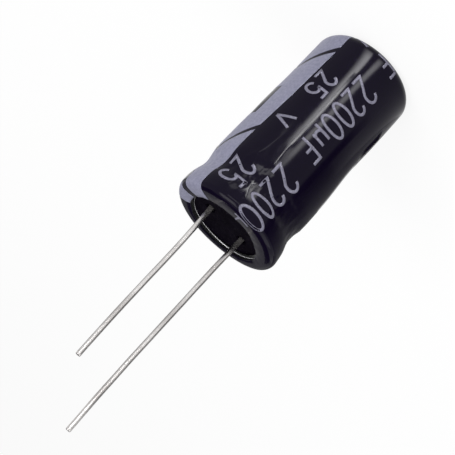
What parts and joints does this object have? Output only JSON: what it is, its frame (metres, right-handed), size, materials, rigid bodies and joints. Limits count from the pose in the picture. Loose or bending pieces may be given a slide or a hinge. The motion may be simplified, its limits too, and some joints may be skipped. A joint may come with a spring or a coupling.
{
  "type": "electrolytic capacitor",
  "caption": "Cylindrical can with a beaded neck and a rolled edge in a shrunk black sleeve, with a rubber end seal and two parallel wire leads of unequal length.",
  "frame": {"origin": "centre of the sleeve's underside, on the axis of the can; the part stands on its closed end", "axes": "+Z along the can's axis towards the leads, +X from the positive lead to the negative lead"},
  "size_m": [0.0138, 0.0138, 0.0547],
  "materials": {
    "sleeve_film": "glossy shrunk film with pale print",
    "can_aluminium": "drawn, slightly scuffed",
    "seal_rubber": "matte, dusty",
    "soaked_paper": "soaked paper and foil edges",
    "tape_film": "thin adhesive tape",
    "tab_aluminium": "pressed",
    "tinned_wire": "bright tinned wire"
  },
  "bodies": {
    "root": {"sleeve": "sleeve_film", "can": "can_aluminium", "end_seal": "seal_rubber", "wound_element": "soaked_paper", "fixing_tape": "tape_film", "anode_tab": "tab_aluminium", "cathode_tab": "tab_aluminium", "anode_lead": "tinned_wire", "cathode_lead": "tinned_wire"}
  },
  "joints": []
}
